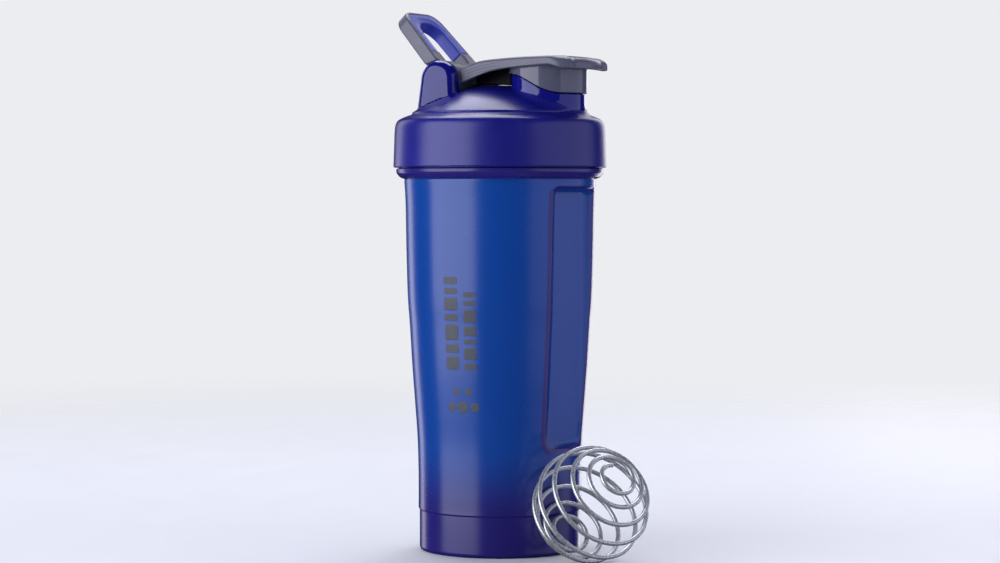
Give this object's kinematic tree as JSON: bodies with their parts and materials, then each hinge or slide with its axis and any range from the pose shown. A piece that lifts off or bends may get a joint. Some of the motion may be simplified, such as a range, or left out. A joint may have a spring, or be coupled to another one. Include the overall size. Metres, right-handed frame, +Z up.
{
  "type": "shaker bottle",
  "caption": "Tapered shaker bottle with a screw lid, flip cap over an off-centre spout, tilting carry loop and a loose wire whisk ball.",
  "frame": {"origin": "on the bottle's axis, level with the face it stands on", "axes": "+Z up along the bottle's axis, +X from the lid's hinge towards the drinking spout, +Y along the hinge pin"},
  "size_m": [0.1317, 0.0958, 0.2426],
  "materials": {
    "bottle_plastic": "translucent, satin gloss",
    "print_ink": "matte ink",
    "gasket_rubber": "matte",
    "lid_plastic": "satin moulded",
    "pin_steel": "drawn",
    "cap_plastic": "fine moulded texture",
    "seal_rubber": "matte",
    "loop_plastic": "fine moulded texture",
    "grip_rubber": "soft matte",
    "wire_steel": "bright drawn wire"
  },
  "bodies": {
    "bottle": {"bottle": "bottle_plastic", "printed_mark": "print_ink"},
    "lid_gasket": {"lid_gasket": "gasket_rubber"},
    "lid": {"lid": "lid_plastic", "hinge_pin": "pin_steel"},
    "flip_cap": {"flip_cap": "cap_plastic", "spout_seal": "seal_rubber"},
    "carry_loop": {"carry_loop": "loop_plastic", "loop_grip": "grip_rubber"},
    "whisk_ball": {"whisk_ball": "wire_steel"}
  },
  "joints": [
    {"name": "lid_rise", "type": "slide", "parent": "bottle", "child": "lid_gasket", "axis": [0, 0, 1], "range_m": [0, 0.09]},
    {"name": "lid_turn", "type": "hinge", "parent": "lid_gasket", "child": "lid", "pos_m": [0, 0, 0.18], "axis": [0, 0, 1], "range_deg": [0, 2160]},
    {"name": "cap_open", "type": "hinge", "parent": "lid", "child": "flip_cap", "pos_m": [-0.0206, 0, 0.2104], "axis": [0, -1, 0], "range_deg": [0, 65]},
    {"name": "loop_swing", "type": "hinge", "parent": "lid", "child": "carry_loop", "pos_m": [-0.0206, 0, 0.2104], "axis": [0, -1, 0], "range_deg": [0, 67]},
    {"name": "ball_roll_away", "type": "slide", "parent": "bottle", "child": "whisk_ball", "axis": [0.9354, -0.3535, 0], "range_m": [0, 0.15]}
  ],
  "couplings": [
    {"joint": "lid_rise", "follows": "lid_turn", "m_per_rad": 0.0023873}
  ]
}
